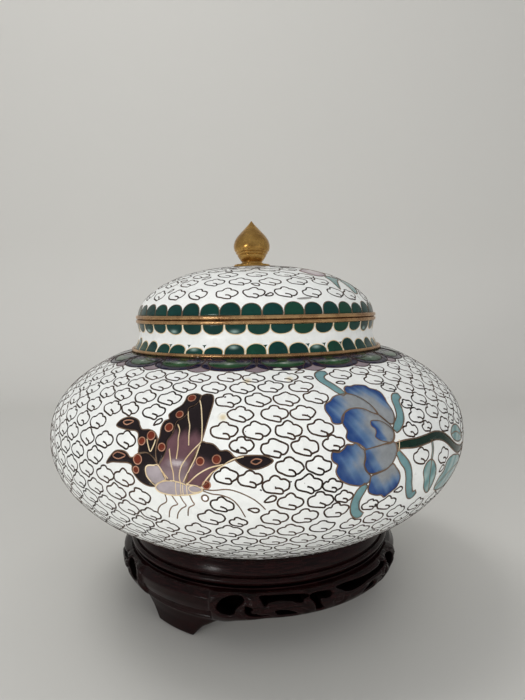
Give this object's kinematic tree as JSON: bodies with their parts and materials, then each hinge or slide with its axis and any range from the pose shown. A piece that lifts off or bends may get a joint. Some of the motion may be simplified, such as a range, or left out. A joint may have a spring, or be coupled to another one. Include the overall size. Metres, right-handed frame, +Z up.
{
  "type": "cloisonne ginger jar",
  "caption": "Squat round lidded jar in white cloisonne enamel with brass rims and a brass finial, resting in a deeply carved dark wood stand on short bracket feet.",
  "frame": {"origin": "on the table, under the middle of the jar, at the level of the stand's feet", "axes": "+Z up along the jar's axis, -Y the front that shows the butterfly and the peony, +X to the right of it"},
  "size_m": [0.179, 0.179, 0.1647],
  "materials": {
    "enamel": "glossy white enamel inlaid between fine metal wires over copper, with coloured flowers and a butterfly",
    "brass": "satin, slightly tarnished",
    "rosewood": "very dark red-brown wood, waxed to a low gloss"
  },
  "bodies": {
    "root": {"jar_body": "enamel", "neck_ring": "brass", "mouth_rim": "brass", "lid": "enamel", "lid_rim": "brass", "finial_washer": "brass", "finial": "brass", "stand": "rosewood"}
  },
  "joints": []
}
